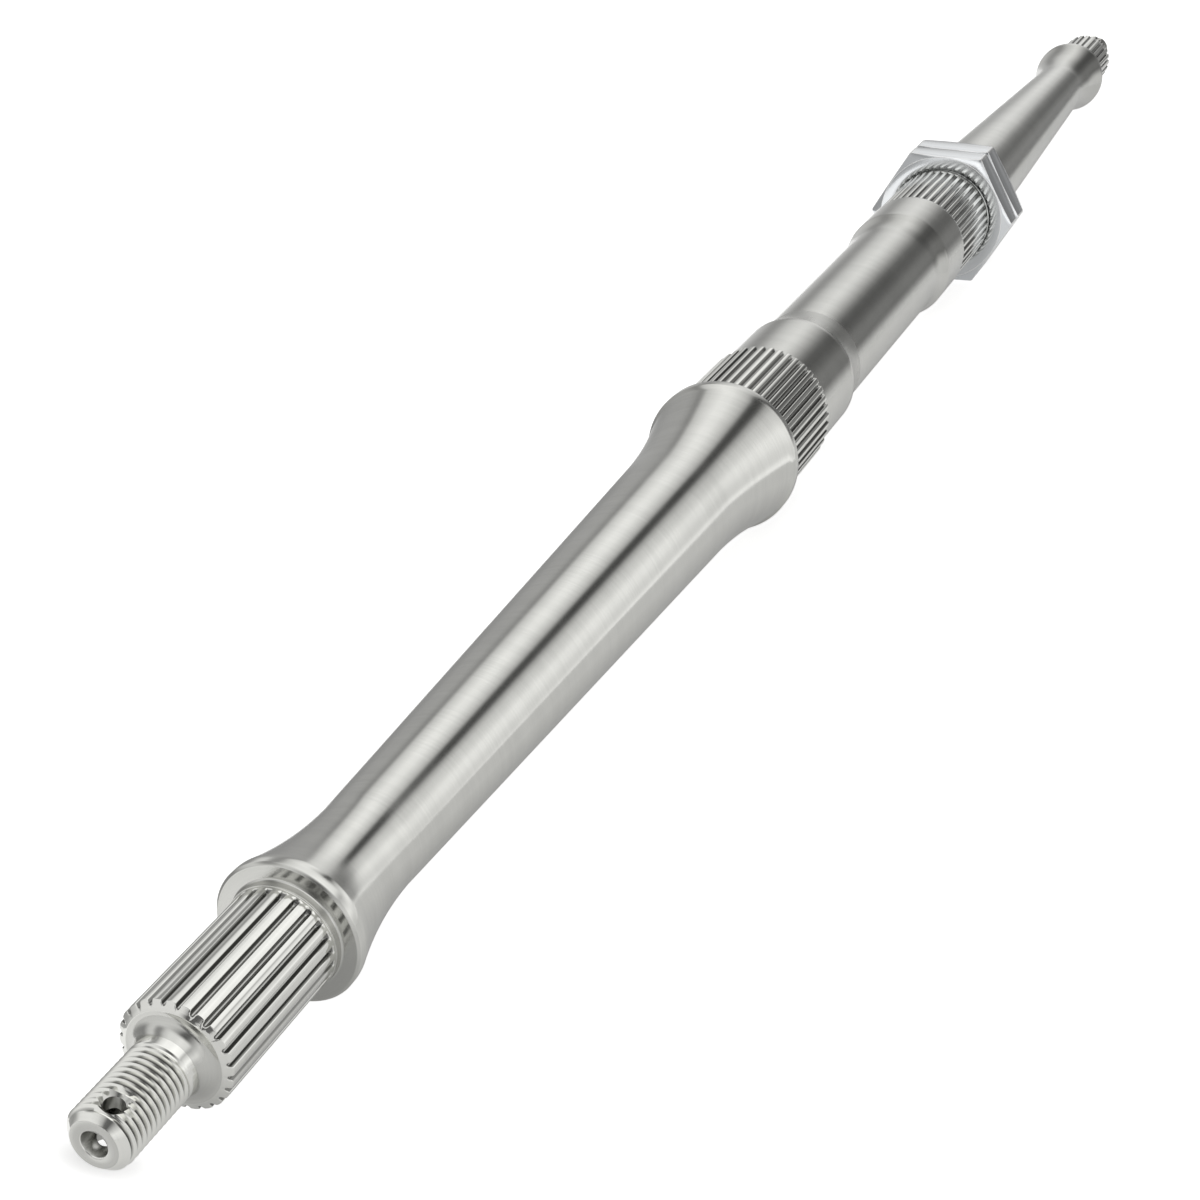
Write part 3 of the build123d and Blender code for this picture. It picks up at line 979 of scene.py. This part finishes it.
def metal(name, colour, roughness, spacing, bump, grain, stretch, shades):
    """A metal with tooling marks: they lift the surface, and lighten and roughen it a little. Shades are a painted
    shade:
    how bright it is at each depth below the outline, as on the walls and floors of threads and grooves."""
    material, n = new_material(name)
    shader = material.node_tree.nodes["Principled BSDF"]
    shader.inputs["Metallic"].default_value = 1.0
    shader.inputs["Anisotropic"].default_value = stretch
    shader.inputs["Anisotropic Rotation"].default_value = 0.25
    marks = n.add("ShaderNodeGroup", node_tree=bpy.data.node_groups.get("tooling_marks") or tooling_group())
    marks.inputs["Spacing"].default_value = spacing
    height, mottle = marks.outputs["Height"], marks.outputs["Mottle"]
    recess = n.add("ShaderNodeAttribute", attribute_name="recess").outputs["Fac"]
    low = tuple(part * (1 - grain) for part in colour)
    high = tuple(min(part * (1 + grain), 1.0) for part in colour)
    tone = n.mix(n.spread(height, *TONE_SPAN, 0.0, 1.0), (*low, 1), (*high, 1))
    # Painted shade: the colour darkens with the depth of a recess, on the walls of grooves and in the roots of threads
    shade = n.ramp(recess, [(depth, (level, level, level)) for depth, level in shades])
    n.feed(shader.inputs["Base Color"], n.mix(1.0, tone, shade, "MULTIPLY"))
    worn = n.math("ADD", roughness, n.math("MULTIPLY", n.math("SUBTRACT", mottle, 0.5), MOTTLE))
    n.feed(shader.inputs["Roughness"], n.math("ADD", worn, n.math("MULTIPLY", recess, RECESS_ROUGHNESS)))
    lift = n.add("ShaderNodeBump")
    lift.inputs["Strength"].default_value = 1.0
    lift.inputs["Distance"].default_value = bump
    n.feed(lift.inputs["Height"], height)
    n.feed(shader.inputs["Normal"], lift.outputs[0])
    n.feed(shader.inputs["Tangent"], n.vector("CROSS_PRODUCT", (0.0, 1.0, 0.0), n.place()))
    return material


class AXLE_OT_shaft(Operator):
    """Build the shaft: body, splines, collars, threads and studs in one closed surface"""

    bl_idname = "axle.shaft"
    bl_label = "Axle Shaft"

    def execute(self, context):
        settings = context.scene.axle_shaft_settings
        angle = radians(COTTER_HOLE_ANGLE)
        near = stud_mesh("near_stud", angle, settings)
        far = stud_mesh("far_stud", -angle, settings)
        far.transform(Matrix.Rotation(pi, 4, "Z"))
        mesh = joined([body_mesh(settings), near, far], "turned_shaft")
        deep = settings.thread_depth / MM
        thread_end = STUD_LENGTH - STUD_ROOT_FILLET
        end_rows = [
            [0, 0, deep],
            [HAIR, TIP_RADIUS, deep],
            [STUD_RADIUS - TIP_RADIUS, STUD_RADIUS, deep],
            [thread_end, STUD_RADIUS, deep],
            [STUD_LENGTH, 0, deep],
            [STUD_LENGTH + HAIR, WHEEL_FACE_RADIUS, WHEEL_DEPTH],
            [STUD_LENGTH + WHEEL_LEAD, WHEEL_RADIUS, WHEEL_DEPTH],
            [SEAT_RING_START, WHEEL_RADIUS, WHEEL_DEPTH],
            [SEAT_RING_START + HAIR, 0, WHEEL_DEPTH],
        ]
        middle_rows = [
            [FLANGE_BACK, 0, HUB_DEPTH],
            [FLANGE_BACK + HAIR, HUB_RADIUS, HUB_DEPTH],
            [HUB_END - HUB_END_ROUND, HUB_RADIUS, HUB_DEPTH],
            [HUB_END, 0, HUB_DEPTH],
            [FAR_SEAT_END, 0, DISC_SHADE_DEPTH],
            [FAR_SEAT_END + HAIR, DISC_RADIUS, DISC_SHADE_DEPTH],
            [DISC_END - HAIR, DISC_RADIUS, DISC_SHADE_DEPTH],
            [DISC_END, 0, deep],
            [DISC_END + HAIR, THREAD_RADIUS, deep],
            [THREAD_END, THREAD_RADIUS, deep],
            [THREAD_END + HAIR, 0, deep],
        ]
        mark_recess(mesh, end_rows + middle_rows + mirrored(end_rows), angle)
        hub, disc = (FLANGE_BACK, HUB_END), (FAR_SEAT_END, DISC_END)
        region(mesh, HOBBED, *both_ends((STUD_LENGTH + HAIR, SEAT_RING_START)))
        faces = (thread_end, STUD_LENGTH + HAIR), (SEAT_RING_START, COLLAR_FACE + COLLAR_CHAMFER), (-EDGE, TIP_FACE)
        region(mesh, FACED, *both_ends(*faces))
        region(mesh, THREADED, *both_ends((TIP_FACE, thread_end)), (DISC_END, THREAD_END))
        # The holes' walls take the bored steel, whose low brightness is a painted shade in the holes
        bore = (EDGE, CENTRE_HOLE_DEPTH + CENTRE_HOLE_POINT)
        region(mesh, BORED_PAINTED_SHADE, *both_ends(bore), within=CENTRE_HOLE_RADIUS + SLACK)
        kind = cross_hole_faces(mesh, angle)
        region(mesh, BORED_PAINTED_SHADE, (0, LENGTH), only=kind == COTTER_BORE)
        region(mesh, FACED, (0, LENGTH), only=kind == COTTER_SINK)
        region(mesh, FINE_HOBBED, hub, disc)
        region(mesh, BLENDED, (NEAR_SEAT_END - EDGE, NEAR_SEAT_END + WAIST_BLEND))
        materials = [
            metal(name, [part * bright for part in settings.steel_colour], settings.steel_roughness * rough, *marks)
            for name, bright, rough, *marks in FINISHES
        ]
        piece = finished("turned_shaft", mesh, "axle", ["axle_shaft"], "turned_steel", *materials)
        crease_between(piece.data, kind)
        return {"FINISHED"}


class AXLE_OT_lock_nuts(Operator):
    """Build the two lock nuts, bright plated and chamfered on both faces"""

    bl_idname = "axle.lock_nuts"
    bl_label = "Lock Nuts"

    def execute(self, context):
        settings = context.scene.axle_nut_settings
        plating = metal("bright_plating", settings.plating_colour, settings.plating_roughness, *PLATING_MARKS)
        # The nuts' white edges are a painted highlight
        edges = metal("painted_highlight_edges", PAINTED_HIGHLIGHT_COLOUR, PAINTED_HIGHLIGHT_ROUGHNESS, *PAINTED_HIGHLIGHT_MARKS)
        for name, node, body in (
            ("plated_inner_nut", "inner_lock_nut", "inner_nut"),
            ("plated_outer_nut", "outer_lock_nut", "outer_nut"),
        ):
            low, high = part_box(node)
            mesh = nut_mesh(name, low.y / MM + HALF_LENGTH, high.y / MM + HALF_LENGTH, settings.across_flats / MM)
            piece = finished(name, mesh, body, [node], "zinc_plated", plating, edges)
            region(piece.data, PAINTED_HIGHLIGHT, (0, LENGTH), only=nut_edges(piece.data))
        return {"FINISHED"}


# The angle about which bands of light are drawn together, how strong their blue is beside their red and green, and
# the plans: brightness at angles round the axis, in degrees from up towards +X
BAND_CENTRE = radians(38)
BAND_BLUE = 0.995
MIDDLE_BANDS = [
    (-180, 0.6), (-125, 0.68), (-108, 0.6), (-92, 0.48), (-78, 0.34), (-68, 0.35), (-58, 0.48), (-48, 0.67),
    (-36, 0.82), (-18, 0.97), (-8, 0.88), (2, 0.68), (12, 0.46), (22, 0.24), (32, 0.11), (44, 0.09), (56, 0.13),
    (70, 0.21), (84, 0.21), (94, 0.18), (102, 0.36), (112, 0.64), (122, 0.7), (180, 0.6),
]
BACK_BANDS = [
    (-180, 0.5), (-100, 0.5), (-84, 0.47), (-68, 0.53), (-50, 0.73), (-28, 0.88), (-12, 0.87), (0, 0.8),
    (10, 0.72), (20, 0.53), (32, 0.34), (44, 0.25), (56, 0.2), (70, 0.24), (86, 0.3), (104, 0.24), (114, 0.2),
    (124, 0.42), (134, 0.52), (180, 0.5),
]
HOOD_BANDS = [
    (-180, 0.5), (-128, 0.38), (-115, 0.32), (-100, 0.34), (-80, 0.43), (-58, 0.47), (-50, 0.42), (-44, 0.3),
    (-40, 0.36), (-36, 0.72), (-27, 0.92), (-14, 1.15), (-4, 1.1), (6, 0.86), (13, 0.66), (17, 0.46), (20, 0.14),
    (23, 0.08), (27, 0.07), (31, 0.14), (36, 0.48), (44, 0.76), (55, 0.92), (66, 1.14), (75, 1.1), (85, 0.94),
    (94, 0.9), (98, 1.05), (103, 1.3), (107, 0.74), (180, 0.6),
]
END_BANDS = [
    (-180, 0.5), (-128, 0.5), (-104, 0.35), (-88, 0.32), (-74, 0.8), (-62, 0.9), (-50, 0.38), (-40, 0.34),
    (-26, 0.85), (-10, 1.1), (8, 1.1), (24, 1.25), (46, 1.1), (56, 0.55), (64, 0.8), (78, 1.15), (92, 0.75),
    (107, 1.0), (180, 0.6),
]
BEHIND_BANDS = [
    (-180, 0.6), (-125, 0.75), (-100, 0.85), (-45, 0.9), (-20, 0.8), (0, 0.5), (12, 0.15), (30, 0.12), (48, 0.5),
    (75, 0.95), (110, 0.7), (180, 0.7),
]


def light_bands(n, x, z, spacing, *plans):
    """Brightness by the angle of (x, z) round the shaft's axis, one output for each plan. The bands are drawn
    together about BAND_CENTRE by the spacing."""
    turn = n.math("SUBTRACT", n.math("ARCTAN2", x, z), BAND_CENTRE)
    turn = n.math("MULTIPLY_ADD", turn, spacing, BAND_CENTRE)
    around = n.math("MULTIPLY_ADD", turn, 0.5 / pi, 0.5)
    return [
        n.ramp(around, [((place + 180) / 360, (value, value, value * BAND_BLUE)) for place, value in plan])
        for plan in plans
    ]


def studio_world(level):
    """Soft light from all round, in long bands beside the shaft that change with how far along it they point."""
    world = bpy.data.worlds.new("studio")
    bpy.context.scene.world = world
    world.use_nodes = True
    n = Nodes(world.node_tree)
    x, along, z = n.split(n.add("ShaderNodeTexCoord").outputs["Generated"])
    spacing = n.math("MULTIPLY", n.spread(along, *NEAR_SPACING, "LINEAR"), n.spread(along, *FAR_SPACING, "LINEAR"))
    middle, back = light_bands(n, x, z, spacing, MIDDLE_BANDS, BACK_BANDS)
    far_part = n.math("MULTIPLY", n.spread(along, *BACK_RISE), n.spread(along, *BACK_FALL))
    seen = n.add("ShaderNodeLightPath").outputs["Is Camera Ray"]
    background = world.node_tree.nodes["Background"]
    n.feed(background.inputs["Color"], n.mix(seen, n.mix(far_part, middle, back), WHITE))
    background.inputs["Strength"].default_value = level


def hood():
    """A hood of light panels round the near half of the shaft, seen only in the metal. It is a tube about the axis,
    open over the board, and its light fades out at its far rim."""
    start, end, radius = HOOD_SPAN
    angle = np.radians(np.linspace(*HOOD_SIDES, HOOD_COLUMNS))
    distance = np.array([start, end])[:, None]
    points = np.stack(np.broadcast_arrays(radius * np.sin(angle), distance, radius * np.cos(angle)), -1)
    index = np.arange(points.size // 3).reshape(2, -1)
    quads = np.stack([index[0, :-1], index[1, :-1], index[1, 1:], index[0, 1:]], -1)
    mesh = bpy.data.meshes.new("hood")
    mesh.from_pydata(points.reshape(-1, 3), [], quads.tolist())
    material, n = new_material("hood_light")
    x, along, z = n.split(n.place())
    light, end_light, behind = light_bands(n, x, z, 1.0, HOOD_BANDS, END_BANDS, BEHIND_BANDS)
    for (low, high), other in zip(HOOD_CHANGES, (end_light, behind, HOOD_END)):
        light = n.mix(n.spread(along, low, high, 1.0, 0.0), light, other)
    glow = n.wired("ShaderNodeEmission", light)[0]
    left = n.spread(along, *[end - part for part in HOOD_FADE], 1.0, 0.0)
    n.surface(n.wired("ShaderNodeMixShader", left, n.add("ShaderNodeBsdfTransparent").outputs[0], glow)[0])
    panels = placed("hood", mesh, material)
    return panels


def floor_material(name, colour, camera_glow, metal_glow, shade):
    """Pale matt board, with a glow of its own to the camera and to the metal, so that it shows white where no
    shadow falls. Shade greys it in a soft strip below the shaft, and less towards the far end."""
    material, n = new_material(name)
    place = n.place()
    across, along, _ = n.split(place)
    strip = n.spread(n.math("ABSOLUTE", across), *STRIP_FALL, "LINEAR")
    strip_grey, far_grey = (
        n.spread(along, low, high, near * shade, far * shade) for low, high, near, far in (STRIP_GREY, FAR_GREY)
    )
    depth = n.math("MULTIPLY", strip_grey, n.spread(along, *STRIP_START))
    grey = n.math("MAXIMUM", n.math("MULTIPLY", strip, depth), far_grey)
    matt = n.wired("ShaderNodeBsdfDiffuse", n.mix(grey, (*colour, 1), BLACK))[0]
    # A painted shadow under the near tip: the floor's glow to the camera drops in a soft oval there
    pool = n.vector("LENGTH", n.vector("DIVIDE", n.vector("SUBTRACT", place, NEAR_SHADE), NEAR_SHADE_SIZE))
    path = n.add("ShaderNodeLightPath").outputs
    seen = n.math("MULTIPLY", path["Is Camera Ray"], camera_glow)
    seen = n.math("MULTIPLY", seen, n.spread(pool, *POOL_GLOW))
    shine = n.math("MAXIMUM", path["Is Glossy Ray"], path["Is Transmission Ray"])
    level = n.math("MAXIMUM", n.spread(across, *LEFT_GLOW), n.spread(along, *FRONT_GLOW))
    strength = n.math("MULTIPLY_ADD", shine, n.math("MULTIPLY", level, metal_glow), seen)
    glow = n.add("ShaderNodeEmission")
    n.feed(glow.inputs["Strength"], strength)
    n.surface(n.wired("ShaderNodeAddShader", matt, glow.outputs[0])[0])
    return material


def flat_sheet(name, corners, height, material):
    """A flat sheet of the stage at a height."""
    mesh = bpy.data.meshes.new(name)
    mesh.from_pydata([(x, y, height) for x, y in corners], [], [tuple(range(len(corners)))])
    sheet = placed(name, mesh, material)
    return sheet


class AXLE_OT_studio(Operator):
    """Build the floor, the soft light and the camera"""

    bl_idname = "axle.studio"
    bl_label = "Studio"

    def execute(self, context):
        settings = context.scene.axle_studio_settings
        low = min(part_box(node)[0].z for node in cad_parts)
        colour, reach = settings.floor_colour, FLOOR_REACH
        corners = [(-reach, -reach), (reach, -reach), (reach, reach), (-reach, reach)]
        pale_floor = floor_material("pale_floor", colour, FLOOR_GLOW, 0.0, 0.0)
        floor = flat_sheet("floor", corners, low - FLOOR_GAP, pale_floor)
        floor.visible_glossy = False
        pale_board = floor_material("pale_board", colour, 0.0, BOARD_GLOW, BOARD_SHADE)
        board = flat_sheet("board", BOARD, low - FLOOR_GAP / 2, pale_board)
        for card in (board, hood()):
            card.visible_camera = card.visible_diffuse = card.visible_shadow = False
        studio_world(settings.light_level)
        view = bpy.data.cameras.new("camera")
        view.lens, view.sensor_width = settings.lens, 36.0
        view.clip_start, view.clip_end = 0.01, 100.0
        camera = bpy.data.objects.new("camera", view)
        camera.location = settings.camera_place
        camera.rotation_euler = (pi / 2 - settings.camera_pitch, 0.0, settings.camera_turn)
        context.scene.collection.objects.link(camera)
        context.scene.camera = camera
        context.scene.view_settings.view_transform = "Standard"
        return {"FINISHED"}


class AXLE_PT_panel(Panel):
    """Sizes, colours and build buttons of the axle shaft"""

    bl_idname = "AXLE_PT_panel"
    bl_label = "Axle Shaft"
    bl_space_type = "VIEW_3D"
    bl_region_type = "UI"
    bl_category = "Axle"

    def draw(self, context):
        for name, _, operator in GROUPS:
            box = self.layout.box()
            settings = getattr(context.scene, name)
            for key in settings.bl_rna.properties.keys():
                if key not in ("name", "rna_type"):
                    box.prop(settings, key)
            box.operator(operator)


GROUPS = (
    ("axle_shaft_settings", ShaftSettings, "axle.shaft"),
    ("axle_nut_settings", NutSettings, "axle.lock_nuts"),
    ("axle_studio_settings", StudioSettings, "axle.studio"),
)
CLASSES = (ShaftSettings, NutSettings, StudioSettings, AXLE_OT_shaft, AXLE_OT_lock_nuts, AXLE_OT_studio, AXLE_PT_panel)


def register():
    for kind in CLASSES:
        bpy.utils.register_class(kind)
    for name, settings, _ in GROUPS:
        setattr(bpy.types.Scene, name, PointerProperty(type=settings))


def unregister():
    for name, _, _ in GROUPS:
        delattr(bpy.types.Scene, name)
    for kind in reversed(CLASSES):
        bpy.utils.unregister_class(kind)


def main():
    register()
    bpy.ops.axle.shaft()
    bpy.ops.axle.lock_nuts()
    bpy.ops.axle.studio()


if __name__ == "__main__":
    main()
